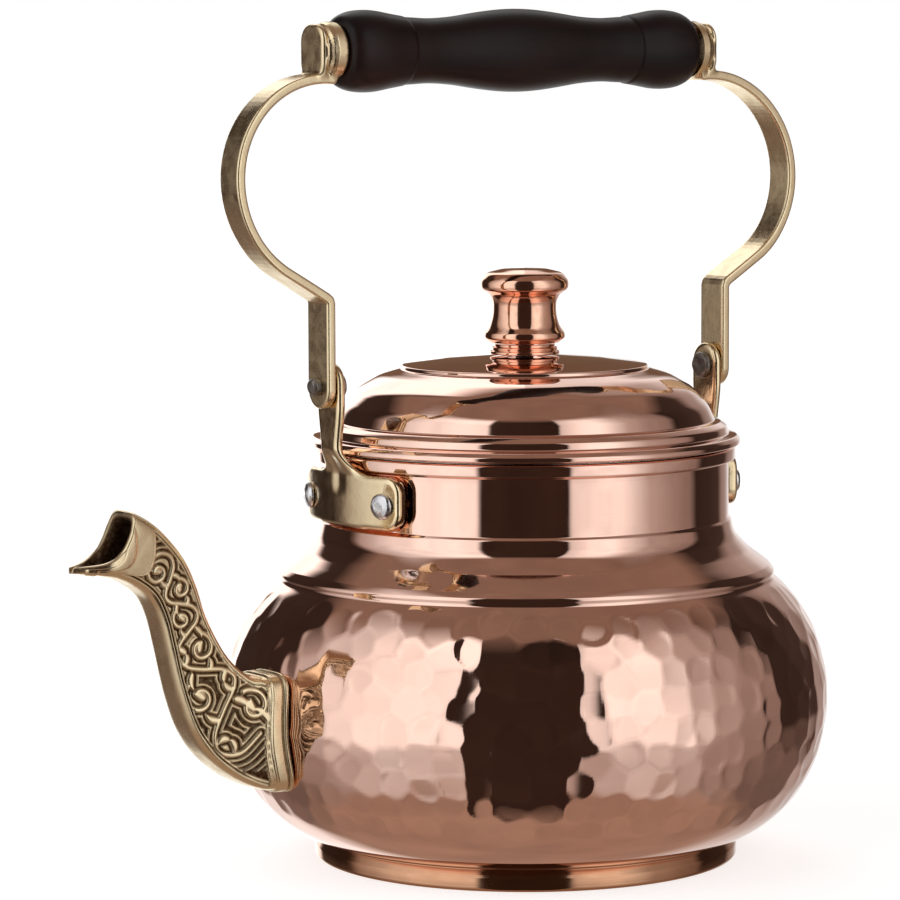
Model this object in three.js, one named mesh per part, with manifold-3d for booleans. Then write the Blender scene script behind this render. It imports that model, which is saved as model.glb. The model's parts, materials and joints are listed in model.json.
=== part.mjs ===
// A hammered copper kettle with a cast brass spout, a lift-off lid and a bail handle.
//
// Frame: millimetres, +Z up, origin on the kettle's axis in the plane that the base rests on,
// spout towards -X. Two lugs stand on the neck at -X (front) and +X (rear), and the bail swings
// about the line through their pivot rivets, which runs along X.

import * as THREE from 'three';
import { mergeVertices } from 'three/addons/utils/BufferGeometryUtils.js';
import Module from 'manifold-3d';

const wasm = await Module();
wasm.setup();

// ---------------------------------------------------------------- driving dimensions (mm)

const GAP = 0.3;                   // clearance between neighbouring pieces
const SHEET = 1.0;                 // copper sheet of the body, base and lid

const ROUND = 40;                  // facets of the large turned pieces
const ROUND_SMALL = 20;            // facets of the knob and the grip
const ROUND_PIN = 12;              // facets of rivets, rods and holes

const BASE_RADIUS = 57.8;
const BASE_HEIGHT = 7.0;           // top edge of the base pan's wall
const SKIRT_RADIUS = 55.0;         // body sheet standing inside the base pan

const BELLY_RING = 50;             // the belly is an ellipse centred on a ring of this radius
const BELLY_Z = 44;
const BELLY_HALF_WIDTH = 32.6;
const BELLY_HALF_HEIGHT = 39;
const BELLY_START = -69.8;         // ellipse angles where the belly begins and ends (degrees)
const BELLY_END = 55;

const NECK_RADIUS = 55.5;
const NECK_BOTTOM = 93.2;
const NECK_TOP = 112.4;
const HEM_RADIUS = 57.3;           // rolled hem at the top of the neck
const HEM_BOTTOM = 108.8;

const LID_RADIUS = 58.6;
const LID_UNDERSIDE = 112.9;
const LID_HOLE = 2.8;
const FLANGE_RADIUS = 53.5;        // ring under the lid that drops into the neck
const FLANGE_BOTTOM = 105.6;
const LID_TOP = 136.9;

const COLLAR_TOP = 140.0;
const KNOB_TOP = 160.5;
const SCREW_RADIUS = 2.4;
const SCREW_TOP = 151;

const PAD_THICKNESS = 1.6;         // copper pad between the neck and the lug
const LUG_THICKNESS = 2.5;
const LUG_HALF_ANGLE = 22.6;       // half of the arc that the lug's foot covers (degrees)
const LUG_BOTTOM = 93.9;
const LUG_TOP = 108.0;
const RIVET_ANGLE = 17;            // rivets stand this far each side of the lug's middle
const RIVET_Z = 100.6;
const RIVET_HEAD = 3.45;
const RIVET_SHANK = 2.0;

const PIVOT_Z = 131.3;
const PIVOT_SHANK = 1.9;
const PIVOT_HEAD = 3.7;            // head against the lug, and the smaller peened end outside
const PIVOT_PEEN = 2.35;
const TANG_INNER = 60.8;           // faces of the lug's upright tongue, from the axis
const TANG_OUTER = 63.3;
const TANG_TOP = 137.6;

const ARM_X = 64.9;                // middle of the bail arm's straight foot
const ARM_THICKNESS = 2.6;
const ARM_BOTTOM = 125.5;
const ARM_KINK_Z = 154.6;
const ARM_ARC_X = 63;              // centre and radius of the arm's round bow
const ARM_ARC_Z = 185;
const ARM_ARC_RADIUS = 27.2;
const ARM_ARC_START = -60;
const ARM_ARC_END = 95;
const ARM_WIDTH = 10.4;
const BOW_WIDTH = 9.2;

const GRIP_Z = 219.3;
const GRIP_X = -3.2;               // the bail leans this far towards the spout at the grip's height
const GRIP_HALF = 56.8;
const FERRULE_RADIUS = 7.75;
const BOSS_INNER = GRIP_HALF + GAP;  // faces of the boss, from the grip's middle
const BOSS_OUTER = 64.4;
const ROD_RADIUS = 2.5;
const ROD_HALF = 60.6;

const SPOUT_WALL = 1.8;
const COLLAR_RISE = 0.8;           // band round the spout's root stands this far proud
const SPOUT_HOLE_Z = 41.5;         // outlet through the belly behind the spout
const SPOUT_HOLE_RADIUS = 7.5;

// ---------------------------------------------------------------- materials

function metal(colour, roughness) {
  return new THREE.MeshStandardMaterial({ color: colour, roughness, metalness: 1 });
}

const COPPER = metal(0xd98f72, 0.12);
const TURNED_COPPER = metal(0xe07a4c, 0.16);
const BRASS = metal(0xc9b07a, 0.28);
const STEEL = metal(0x8b8a8a, 0.4);
const ALUMINIUM = metal(0xc4c4c8, 0.32);
const WOOD = new THREE.MeshStandardMaterial({ color: 0x1d1213, roughness: 0.32, metalness: 0 });

// ---------------------------------------------------------------- shape helpers

function at(radius, z) {
  return new THREE.Vector2(radius, z);
}

// Points along an ellipse arc, angles in degrees from the +r direction.
function arc(centreR, centreZ, halfR, halfZ, from, to, steps) {
  const curve = new THREE.EllipseCurve(
    centreR, centreZ, halfR, halfZ,
    THREE.MathUtils.degToRad(from), THREE.MathUtils.degToRad(to), to < from);
  return curve.getPoints(steps);
}

function signedVolume(positions, faces) {
  const a = new THREE.Vector3();
  const b = new THREE.Vector3();
  const c = new THREE.Vector3();
  let volume = 0;
  for (let i = 0; i < faces.length; i += 3) {
    a.fromArray(positions, faces[i] * 3);
    b.fromArray(positions, faces[i + 1] * 3);
    c.fromArray(positions, faces[i + 2] * 3);
    volume += a.dot(b.cross(c));
  }
  return volume;
}

// A closed geometry as a manifold solid: corners merged, slivers dropped, faces turned outwards.
function solid(geometry) {
  const bare = geometry.index ? geometry.toNonIndexed() : geometry.clone();
  bare.deleteAttribute('normal');
  bare.deleteAttribute('uv');
  const merged = mergeVertices(bare, 1e-4);
  const positions = merged.attributes.position.array;
  const corners = merged.index.array;
  const faces = [];
  for (let i = 0; i < corners.length; i += 3) {
    const [a, b, c] = corners.slice(i, i + 3);
    if (a !== b && b !== c && c !== a) {
      faces.push(a, b, c);
    }
  }
  if (signedVolume(positions, faces) < 0) {
    faces.reverse();
  }
  const mesh = new wasm.Mesh({
    numProp: 3,
    vertProperties: Float32Array.from(positions),
    triVerts: Uint32Array.from(faces),
  });
  return new wasm.Manifold(mesh);
}

function geometryOf(manifold) {
  const mesh = manifold.getMesh();
  const geometry = new THREE.BufferGeometry();
  geometry.setAttribute('position', new THREE.BufferAttribute(Float32Array.from(mesh.vertProperties), 3));
  geometry.setIndex(new THREE.BufferAttribute(Uint32Array.from(mesh.triVerts), 1));
  geometry.computeVertexNormals();
  return geometry;
}

// A profile of (radius, z) points turned about Z; a ring's profile closes on itself.
function turned(profile, facets) {
  const geometry = new THREE.LatheGeometry(profile, facets);
  geometry.rotateX(Math.PI / 2);
  return solid(geometry);
}

function turnedRing(profile, facets) {
  return turned([...profile, profile[0].clone()], facets);
}

// A turned shape whose own axis lies along +X instead of +Z.
function turnedAlongX(profile, facets) {
  const geometry = new THREE.LatheGeometry(profile, facets);
  geometry.rotateZ(-Math.PI / 2);
  return solid(geometry);
}

// A round bar along +X from x0 to x1, at a height above the base.
function barAlongX(radius, x0, x1, z) {
  const geometry = new THREE.CylinderGeometry(radius, radius, x1 - x0, ROUND_PIN);
  geometry.rotateZ(Math.PI / 2);
  geometry.translate((x0 + x1) / 2, 0, z);
  return solid(geometry);
}

// An outline in the XZ plane, given thickness along Y and centred on Y = 0.
function slabAcrossY(outline, width) {
  const geometry = new THREE.ExtrudeGeometry(new THREE.Shape(outline), { depth: width, bevelEnabled: false });
  geometry.translate(0, 0, -width / 2);
  geometry.rotateX(Math.PI / 2);
  return solid(geometry);
}

// An outline in the YZ plane, given thickness along X from x0 to x1.
function slabAlongX(outline, x0, x1) {
  const geometry = new THREE.ExtrudeGeometry(new THREE.Shape(outline), { depth: x1 - x0, bevelEnabled: false });
  geometry.rotateZ(Math.PI / 2);
  geometry.rotateY(Math.PI / 2);
  geometry.translate(x0, 0, 0);
  return solid(geometry);
}

// A rectangle in (across, z) with round corners, as points.
function roundedRectangle(halfWidth, bottom, top, corner, steps) {
  return [
    ...arc(halfWidth - corner, bottom + corner, corner, corner, -90, 0, steps),
    ...arc(halfWidth - corner, top - corner, corner, corner, 0, 90, steps),
    ...arc(-halfWidth + corner, top - corner, corner, corner, 90, 180, steps),
    ...arc(-halfWidth + corner, bottom + corner, corner, corner, 180, 270, steps),
  ];
}

// A strip of constant thickness along a line of (x, z) points, as a closed outline.
function stripOutline(line, thickness) {
  const left = [];
  const right = [];
  line.forEach((here, i) => {
    const before = line[Math.max(i - 1, 0)];
    const after = line[Math.min(i + 1, line.length - 1)];
    const inward = here.clone().sub(before).normalize();
    const outward = after.clone().sub(here).normalize();
    const along = inward.clone().add(outward).normalize();
    const reference = inward.lengthSq() > 0 ? inward : outward;
    const mitre = thickness / 2 / Math.max(along.dot(reference), 0.5);
    const side = new THREE.Vector2(-along.y, along.x).multiplyScalar(mitre);
    left.push(here.clone().add(side));
    right.push(here.clone().sub(side));
  });
  return [...left, ...right.reverse()];
}

// The rear piece is the front piece turned half round the kettle's axis.
function turnedRound(manifold) {
  return manifold.rotate([0, 0, 180]);
}

// ---------------------------------------------------------------- body and base

const bellyOuter = arc(BELLY_RING, BELLY_Z, BELLY_HALF_WIDTH, BELLY_HALF_HEIGHT, BELLY_START, BELLY_END, 11);

function bodyShell() {
  const outer = [
    at(SKIRT_RADIUS, 1.4),
    at(SKIRT_RADIUS, BASE_HEIGHT + 0.4),
    ...bellyOuter,
    at(67.8, 76.9),
    at(67.9, 78.3),
    at(67.0, 79.9),
    at(61.8, 83.9),
    at(59.3, 85.9),
    at(57.4, 88.2),
    at(56.2, 92.6),
    at(NECK_RADIUS, NECK_BOTTOM),
    at(NECK_RADIUS, HEM_BOTTOM - 0.2),
    at(HEM_RADIUS - 0.2, HEM_BOTTOM),
    at(HEM_RADIUS, HEM_BOTTOM + 0.4),
    at(HEM_RADIUS, NECK_TOP - 0.5),
    at(HEM_RADIUS - 0.5, NECK_TOP),
  ];
  const inner = [
    at(NECK_RADIUS - SHEET, NECK_TOP),
    at(NECK_RADIUS - SHEET, NECK_BOTTOM - 0.4),
    at(55.7, 88.4),
    at(58.2, 84.8),
    at(65.2, 79.6),
    at(66.7, 76.6),
    ...arc(BELLY_RING, BELLY_Z, BELLY_HALF_WIDTH - SHEET, BELLY_HALF_HEIGHT - SHEET,
      BELLY_END, BELLY_START, 8),
    at(SKIRT_RADIUS - SHEET, BASE_HEIGHT + 0.4 + SHEET),
    at(SKIRT_RADIUS - SHEET, 1.4),
  ];
  let shell = turnedRing([...outer, ...inner], ROUND);
  const outlet = barAlongX(SPOUT_HOLE_RADIUS, -90, -60, SPOUT_HOLE_Z);
  shell = shell.subtract(outlet);
  for (const turn of rivetTurns()) {
    shell = shell.subtract(rivetHole().rotate([0, 0, turn]));
  }
  return shell;
}

function basePan() {
  const profile = [
    at(0, 0),
    at(BASE_RADIUS - 1, 0),
    at(BASE_RADIUS - 0.3, 0.3),
    at(BASE_RADIUS, 1),
    at(BASE_RADIUS, 3.5),
    at(BASE_RADIUS - 0.9, 6),
    at(BASE_RADIUS - 0.5, 6.4),
    at(BASE_RADIUS - 0.5, BASE_HEIGHT),
    at(SKIRT_RADIUS + 0.4, BASE_HEIGHT),
    at(SKIRT_RADIUS + 0.4, SHEET),
    at(0, SHEET),
  ];
  return turned(profile, ROUND);
}

// ---------------------------------------------------------------- spout

// Each station is a line across the spout in its own plane, from its outer (lower) side to its
// inner (upper) side, as distances from the kettle's axis and heights, with its half width.
const SPOUT_STATIONS = [
  { outer: at(66, 26.2), inner: at(66, 57.0), half: 9.6 },
  { outer: at(82.4, 26.1), inner: at(85.4, 56.4), half: 9.6 },
  { outer: at(88.6, 27.0), inner: at(88.4, 56.8), half: 9.2 },
  { outer: at(96.1, 30.7), inner: at(91.4, 57.6), half: 8.4 },
  { outer: at(103.1, 36.5), inner: at(94.8, 60.3), half: 7.6 },
  { outer: at(107.9, 43.3), inner: at(97.6, 63.5), half: 7.0 },
  { outer: at(111.0, 51.0), inner: at(99.9, 67.2), half: 6.5 },
  { outer: at(113.0, 58.0), inner: at(102.1, 71.5), half: 6.1 },
  { outer: at(114.9, 65.9), inner: at(103.9, 75.6), half: 5.9 },
  { outer: at(117.0, 73.7), inner: at(106.1, 82.3), half: 5.8 },
  { outer: at(120.0, 79.5), inner: at(109.2, 88.7), half: 5.9 },
  { outer: at(124.4, 83.0), inner: at(113.6, 94.2), half: 6.3 },
  { outer: at(129.0, 85.1), inner: at(119.0, 99.1), half: 6.9 },
  { outer: at(133.7, 86.2), inner: at(125.1, 102.4), half: 7.0 },
  { outer: at(137.4, 86.8), inner: at(131.9, 104.0), half: 4.4 },
  { outer: at(140.9, 87.2), inner: at(138.0, 104.9), half: 1.2 },
];
const SECTION_STEPS = 16;
const SECTION_SQUARENESS = 0.62;   // 1 is an ellipse, less is a rounder rectangle

// One section of the spout: a rounded rectangle standing across its run.
function spoutSection(station, inset) {
  const middle = station.outer.clone().add(station.inner).multiplyScalar(0.5);
  const across = station.inner.clone().sub(station.outer);
  const halfDepth = across.length() / 2 - inset;
  const halfWidth = Math.max(station.half - inset, 0.4);
  across.normalize();
  const ring = [];
  for (let k = 0; k < SECTION_STEPS; k += 1) {
    const turn = (k + 0.5) / SECTION_STEPS * 2 * Math.PI;
    const c = Math.cos(turn);
    const s = Math.sin(turn);
    const deep = Math.sign(c) * Math.abs(c) ** SECTION_SQUARENESS * halfDepth;
    const wide = Math.sign(s) * Math.abs(s) ** SECTION_SQUARENESS * halfWidth;
    ring.push(new THREE.Vector3(-(middle.x + across.x * deep), wide, middle.y + across.y * deep));
  }
  return ring;
}

// A closed skin over a row of rings of equal length, with a fan over each end.
function loft(rings) {
  const points = rings.flat();
  const count = rings[0].length;
  const faces = [];
  for (let i = 0; i + 1 < rings.length; i += 1) {
    for (let k = 0; k < count; k += 1) {
      const a = i * count + k;
      const b = i * count + (k + 1) % count;
      faces.push(a, b, b + count, a, b + count, a + count);
    }
  }
  const last = (rings.length - 1) * count;
  for (let k = 1; k + 1 < count; k += 1) {
    faces.push(0, k + 1, k, last, last + k, last + k + 1);
  }
  const geometry = new THREE.BufferGeometry().setFromPoints(points);
  geometry.setIndex(faces);
  return solid(geometry);
}

// The belly's outside, grown by the clearance, which the spout's root is cut to.
function bellyEnvelope() {
  const side = arc(BELLY_RING, BELLY_Z, BELLY_HALF_WIDTH + GAP, BELLY_HALF_HEIGHT + GAP, -75, 60, 13);
  return turned([at(0, side[0].y), ...side, at(0, side[side.length - 1].y)], ROUND);
}

function spout() {
  const skin = loft(SPOUT_STATIONS.map((station) => spoutSection(station, 0)));
  const bore = loft(SPOUT_STATIONS.map((station) => spoutSection(station, SPOUT_WALL)));
  const collar = loft(SPOUT_STATIONS.slice(0, 2).map((station) => spoutSection(station, -COLLAR_RISE)));
  // Everything above this line at the mouth is cut away, which leaves a hood over an open beak.
  const mouth = slabAcrossY([
    at(-124.7, 104),
    at(-126.1, 98.3),
    at(-128.4, 93.9),
    at(-131.1, 91.7),
    at(-139.1, 88.9),
    at(-150, 88.4),
    at(-150, 120),
    at(-124.7, 120),
  ], 30);
  return skin.add(collar).subtract(bore).subtract(mouth).subtract(bellyEnvelope());
}

// ---------------------------------------------------------------- lugs and their rivets

const PAD_INNER = NECK_RADIUS + GAP;
const PAD_OUTER = PAD_INNER + PAD_THICKNESS;
const LUG_INNER = PAD_OUTER + GAP;
const LUG_OUTER = LUG_INNER + LUG_THICKNESS;

function rivetTurns() {
  return [-RIVET_ANGLE, RIVET_ANGLE, 180 - RIVET_ANGLE, 180 + RIVET_ANGLE];
}

// A hole through neck, pad and lug on the -X side, at the rivet's height.
function rivetHole() {
  return barAlongX(RIVET_SHANK + GAP, -70, -50, RIVET_Z);
}

// A curved plate on the -X side of the neck: a piece of tube cut to a rounded outline.
function neckPlate(innerRadius, thickness, halfAngle, bottom, top, corner) {
  const tube = turnedRing([
    at(innerRadius, bottom - 1),
    at(innerRadius + thickness, bottom - 1),
    at(innerRadius + thickness, top + 1),
    at(innerRadius, top + 1),
  ], ROUND * 2);
  const halfWidth = (innerRadius + thickness) * Math.sin(THREE.MathUtils.degToRad(halfAngle));
  const outline = roundedRectangle(halfWidth, bottom, top, corner, 4);
  let plate = tube.intersect(slabAlongX(outline, -70, -40));
  for (const turn of [-RIVET_ANGLE, RIVET_ANGLE]) {
    plate = plate.subtract(rivetHole().rotate([0, 0, turn]));
  }
  return plate;
}

function lugPad() {
  return neckPlate(PAD_INNER, PAD_THICKNESS, LUG_HALF_ANGLE + 1.2, LUG_BOTTOM - 0.3, LUG_TOP + 0.2, 3.6);
}

function lug() {
  const foot = neckPlate(LUG_INNER, LUG_THICKNESS, LUG_HALF_ANGLE, LUG_BOTTOM + 0.4, LUG_TOP, 3.6);
  const side = [
    at(-LUG_INNER - 0.4, 101),
    at(-LUG_INNER - 0.4, 107.4),
    at(-59.4, 110.6),
    at(-TANG_INNER, 115),
    at(-TANG_INNER, TANG_TOP),
    at(-TANG_OUTER, TANG_TOP),
    at(-TANG_OUTER, 114.4),
    at(-62.6, 109.6),
    at(-60.4, 105),
    at(-60.2, 101),
  ];
  const halfTop = 5.6;
  const halfWaist = 3.9;
  const front = [
    at(halfWaist + 5, 101),
    at(halfWaist + 5, 107.6),
    ...arc(halfWaist + 5, 112.6, 5, 5, -90, -180, 4),
    at(halfTop, 124),
    ...arc(0, TANG_TOP - halfTop, halfTop, halfTop, 0, 180, 8),
    at(-halfTop, 124),
    ...arc(-halfWaist - 5, 112.6, 5, 5, 0, -90, 4),
    at(-halfWaist - 5, 107.6),
    at(-halfWaist - 5, 101),
  ];
  const tongue = slabAcrossY(side, 24).intersect(slabAlongX(front, -70, -50));
  const pivotHole = barAlongX(PIVOT_SHANK + GAP, -70, -50, PIVOT_Z);
  return foot.add(tongue).subtract(pivotHole);
}

function lugRivet() {
  const outside = LUG_OUTER + 0.25;
  const inside = NECK_RADIUS - SHEET - 0.3;
  const profile = [
    at(0, inside - 1.1),
    at(2.6, inside - 1.0),
    at(RIVET_HEAD - 0.3, inside - 0.3),
    at(RIVET_HEAD - 0.3, inside),
    at(RIVET_SHANK, inside),
    at(RIVET_SHANK, outside),
    at(RIVET_HEAD, outside),
    at(RIVET_HEAD, outside + 0.5),
    at(2.7, outside + 1.3),
    at(1.4, outside + 1.7),
    at(0, outside + 1.8),
  ];
  return turnedAlongX(profile, ROUND_PIN).translate([0, 0, RIVET_Z]);
}

// ---------------------------------------------------------------- bail

function pivotRivet() {
  const inside = TANG_INNER - GAP;
  const outside = ARM_X + ARM_THICKNESS / 2 + GAP;
  const profile = [
    at(0, inside - 1.2),
    at(PIVOT_HEAD - 0.4, inside - 1.2),
    at(PIVOT_HEAD, inside - 0.8),
    at(PIVOT_HEAD, inside),
    at(PIVOT_SHANK, inside),
    at(PIVOT_SHANK, outside),
    at(PIVOT_PEEN, outside),
    at(PIVOT_PEEN, outside + 1.5),
    at(PIVOT_PEEN - 0.6, outside + 1.9),
    at(0, outside + 2.1),
  ];
  return turnedAlongX(profile, ROUND_PIN).translate([0, 0, PIVOT_Z]);
}

// An arm on the +X side: a bent flat strip with a boss cast on its upper end. Above its kink it
// leans, by an amount that reaches the shift given at the grip's height.
function arm(shift) {
  const upright = [
    at(ARM_X, ARM_BOTTOM - 2),
    at(ARM_X, ARM_KINK_Z - 1),
    at(ARM_X + 0.5, ARM_KINK_Z + 0.1),
    ...arc(ARM_ARC_X, ARM_ARC_Z, ARM_ARC_RADIUS, ARM_ARC_RADIUS, ARM_ARC_START, ARM_ARC_END, 20),
  ];
  const line = upright.map((p) => {
    const rise = Math.max(p.y - ARM_KINK_Z, 0) / (GRIP_Z - ARM_KINK_Z);
    return at(p.x + shift * rise, p.y);
  });
  const halfFoot = ARM_WIDTH / 2;
  const halfBow = BOW_WIDTH / 2;
  const front = [
    ...arc(0, ARM_BOTTOM + halfFoot, halfFoot, halfFoot, 180, 360, 8),
    at(halfFoot, ARM_KINK_Z + 4),
    at(halfBow, ARM_KINK_Z + 16),
    at(halfBow, GRIP_Z),
    at(-halfBow, GRIP_Z),
    at(-halfBow, ARM_KINK_Z + 16),
    at(-halfFoot, ARM_KINK_Z + 4),
  ];
  const strip = slabAcrossY(stripOutline(line, ARM_THICKNESS), 14).intersect(slabAlongX(front, 50, 100));
  const ferrule = turnedAlongX([
    at(0, BOSS_INNER),
    at(FERRULE_RADIUS - 0.4, BOSS_INNER),
    at(FERRULE_RADIUS, BOSS_INNER + 1.0),
    at(FERRULE_RADIUS, BOSS_INNER + 2.6),
    at(FERRULE_RADIUS - 0.5, BOSS_INNER + 4.4),
    at(FERRULE_RADIUS - 1.3, BOSS_INNER + 5.4),
    at(FERRULE_RADIUS - 1.3, BOSS_INNER + 6.2),
    at(0, BOSS_INNER + 6.2),
  ], ROUND_SMALL).translate([shift, 0, GRIP_Z]);
  const bossOutline = roundedRectangle(5.9, GRIP_Z - 7.4, GRIP_Z + 7.2, 4.6, 4);
  const boss = slabAlongX(bossOutline, shift + BOSS_OUTER - 1.9, shift + BOSS_OUTER);
  const rodPocket = barAlongX(ROD_RADIUS + GAP, shift + BOSS_INNER - 2, shift + ROD_HALF + GAP, GRIP_Z);
  const pivotHole = barAlongX(PIVOT_SHANK + GAP, 50, 80, PIVOT_Z);
  return strip.add(ferrule).add(boss).subtract(rodPocket).subtract(pivotHole);
}

function tieRod() {
  return barAlongX(ROD_RADIUS, GRIP_X - ROD_HALF, GRIP_X + ROD_HALF, GRIP_Z);
}

// A turned wooden grip: a ball at each end, a crease, and a barrel in the middle.
function grip() {
  const bore = ROD_RADIUS + GAP;
  const half = [
    at(11.15, 0),
    at(11.0, 5),
    at(10.5, 10),
    at(9.15, 20),
    at(8.7, 26),
    at(8.75, 31),
    at(9.1, 36.5),
    at(9.5, 37.2),
    at(10.3, 42.5),
    at(10.85, 48),
    at(10.3, 53.2),
    at(9.3, 55.2),
    at(7.6, GRIP_HALF),
    at(bore, GRIP_HALF),
  ];
  const mirrored = half.slice(1).reverse().map((p) => at(p.x, -p.y));
  const profile = [...mirrored, ...half, mirrored[0].clone()];
  return turnedAlongX(profile, ROUND_SMALL).translate([GRIP_X, 0, GRIP_Z]);
}

// ---------------------------------------------------------------- lid and knob

function lidCover() {
  const top = [
    at(LID_HOLE, LID_TOP),
    at(10, LID_TOP - 0.3),
    at(22, LID_TOP - 1.2),
    at(32, LID_TOP - 2.5),
    at(33.2, LID_TOP - 3.4),
    at(38.2, 132.1),
    at(44, 129.2),
    at(49.2, 124.3),
    at(51.3, 120.6),
    at(51.2, 119.3),
    at(53.4, 118.8),
    at(54.9, 117.6),
    at(55.4, 116),
    at(57.6, 115.2),
    at(LID_RADIUS, 114.4),
    at(LID_RADIUS, LID_UNDERSIDE + 0.3),
    at(LID_RADIUS - 0.3, LID_UNDERSIDE),
  ];
  const underside = [
    at(54.3, LID_UNDERSIDE),
    at(54.2, 116.4),
    at(52.9, 117.7),
    at(50.0, 118.3),
    at(50.2, 120.2),
    at(48.4, 123.6),
    at(43.4, 128.3),
    at(37.7, 131),
    at(32.4, 132.6),
    at(22, LID_TOP - 2.4),
    at(LID_HOLE, LID_TOP - 1.4),
  ];
  return turnedRing([...top, ...underside], ROUND);
}

function lidFlange() {
  return turnedRing([
    at(FLANGE_RADIUS - SHEET, FLANGE_BOTTOM),
    at(FLANGE_RADIUS - 0.3, FLANGE_BOTTOM),
    at(FLANGE_RADIUS, FLANGE_BOTTOM + 0.6),
    at(FLANGE_RADIUS, 116.4),
    at(FLANGE_RADIUS - SHEET, 116.9),
  ], ROUND);
}

function knob() {
  const profile = [
    at(LID_HOLE, COLLAR_TOP + GAP),
    at(9.4, COLLAR_TOP + GAP),
    at(11.1, 141.4),
    at(11.0, 142.6),
    at(9.6, 145),
    at(8.8, 147.4),
    at(8.6, 150),
    at(9.3, 152.6),
    at(11.3, 154.6),
    at(12.0, 156.3),
    at(11.6, 158),
    at(9.6, 159.6),
    at(5.5, 160.3),
    at(0, KNOB_TOP),
    at(0, SCREW_TOP + GAP),
    at(LID_HOLE, SCREW_TOP + GAP),
  ];
  return turnedRing(profile, ROUND_SMALL);
}

function knobCollar() {
  const base = LID_TOP + GAP;
  return turnedRing([
    at(LID_HOLE, base),
    at(9.4, base),
    at(9.4, base + 0.8),
    at(8.7, base + 1.1),
    at(8.9, base + 1.8),
    at(8.2, base + 2.1),
    at(8.2, COLLAR_TOP),
    at(LID_HOLE, COLLAR_TOP),
  ], ROUND_SMALL);
}

const WASHER_TOP = LID_TOP - 2.5 - GAP;
const WASHER_BOTTOM = WASHER_TOP - 1;

function knobWasher() {
  return turnedRing([
    at(LID_HOLE, WASHER_BOTTOM),
    at(7, WASHER_BOTTOM),
    at(7, WASHER_TOP),
    at(LID_HOLE, WASHER_TOP),
  ], ROUND_PIN * 2);
}

function knobScrew() {
  const headTop = WASHER_BOTTOM - GAP;
  return turned([
    at(0, headTop - 2.4),
    at(2.8, headTop - 2.2),
    at(4.5, headTop - 1.1),
    at(4.5, headTop),
    at(SCREW_RADIUS, headTop),
    at(SCREW_RADIUS, SCREW_TOP),
    at(0, SCREW_TOP),
  ], ROUND_PIN);
}

// ---------------------------------------------------------------- the assembled kettle

function piece(name, manifold, material) {
  const mesh = new THREE.Mesh(geometryOf(manifold), material);
  mesh.name = name;
  return mesh;
}

const body = new THREE.Group();
body.add(piece('body_shell', bodyShell(), COPPER));
body.add(piece('base_pan', basePan(), COPPER));
body.add(piece('spout', spout(), BRASS));
body.add(piece('lug_pad_front', lugPad(), TURNED_COPPER));
body.add(piece('lug_pad_rear', turnedRound(lugPad()), TURNED_COPPER));
body.add(piece('lug_front', lug(), BRASS));
body.add(piece('lug_rear', turnedRound(lug()), BRASS));
rivetTurns().forEach((turn, i) => {
  body.add(piece(`lug_rivet_${i + 1}`, turnedRound(lugRivet()).rotate([0, 0, turn]), ALUMINIUM));
});
body.add(piece('pivot_rivet_front', turnedRound(pivotRivet()), STEEL));
body.add(piece('pivot_rivet_rear', pivotRivet(), STEEL));

const lid = new THREE.Group();
lid.add(piece('lid_cover', lidCover(), COPPER));
lid.add(piece('lid_flange', lidFlange(), COPPER));
lid.add(piece('knob', knob(), TURNED_COPPER));
lid.add(piece('knob_collar', knobCollar(), TURNED_COPPER));
lid.add(piece('knob_washer', knobWasher(), STEEL));
lid.add(piece('knob_screw', knobScrew(), STEEL));

const bail = new THREE.Group();
bail.add(piece('bail_arm_front', turnedRound(arm(-GRIP_X)), BRASS));
bail.add(piece('bail_arm_rear', arm(GRIP_X), BRASS));
bail.add(piece('tie_rod', tieRod(), STEEL));
bail.add(piece('grip', grip(), WOOD));

const group = new THREE.Group();
group.add(body, lid, bail);

export default group;
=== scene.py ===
"""Looks for the hammered copper kettle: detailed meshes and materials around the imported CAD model.

Shapes are written in millimetres and scaled to metres when a mesh is made. The spout points to -X,
and the bail's two arms stand at -X (front) and +X (rear).
"""

import json
import math

import bpy
import numpy as np
from mathutils import Matrix, Quaternion, Vector


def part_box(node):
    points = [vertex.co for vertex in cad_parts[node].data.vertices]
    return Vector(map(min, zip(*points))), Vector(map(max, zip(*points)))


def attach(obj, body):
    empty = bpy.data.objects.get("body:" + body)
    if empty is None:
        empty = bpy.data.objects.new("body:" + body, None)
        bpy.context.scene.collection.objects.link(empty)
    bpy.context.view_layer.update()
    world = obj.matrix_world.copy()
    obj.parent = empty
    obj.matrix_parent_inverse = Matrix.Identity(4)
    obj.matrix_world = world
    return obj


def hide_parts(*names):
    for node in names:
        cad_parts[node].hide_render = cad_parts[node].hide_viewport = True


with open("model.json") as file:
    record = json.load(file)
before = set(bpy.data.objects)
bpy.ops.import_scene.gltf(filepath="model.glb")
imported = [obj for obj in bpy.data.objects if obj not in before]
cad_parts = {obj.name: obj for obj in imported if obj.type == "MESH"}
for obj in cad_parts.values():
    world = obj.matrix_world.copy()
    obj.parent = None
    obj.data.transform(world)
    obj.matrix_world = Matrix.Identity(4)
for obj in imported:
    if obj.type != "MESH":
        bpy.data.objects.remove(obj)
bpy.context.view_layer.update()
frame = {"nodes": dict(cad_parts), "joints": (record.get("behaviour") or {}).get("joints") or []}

MM = 0.001
TAU = 2 * math.pi
random = np.random.default_rng(11)


# ---------------- sizes, read from the frame (mm)

def node_box(node):
    """Lowest and highest corner of a CAD node, in millimetres."""
    low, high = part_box(node)
    return np.array(low) / MM, np.array(high) / MM


def joint_height(name):
    """Height of a hinge's axis above the base, in millimetres."""
    joint = next(j for j in frame["joints"] if j["name"] == name)
    return joint["pos_m"][2] / MM


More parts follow.
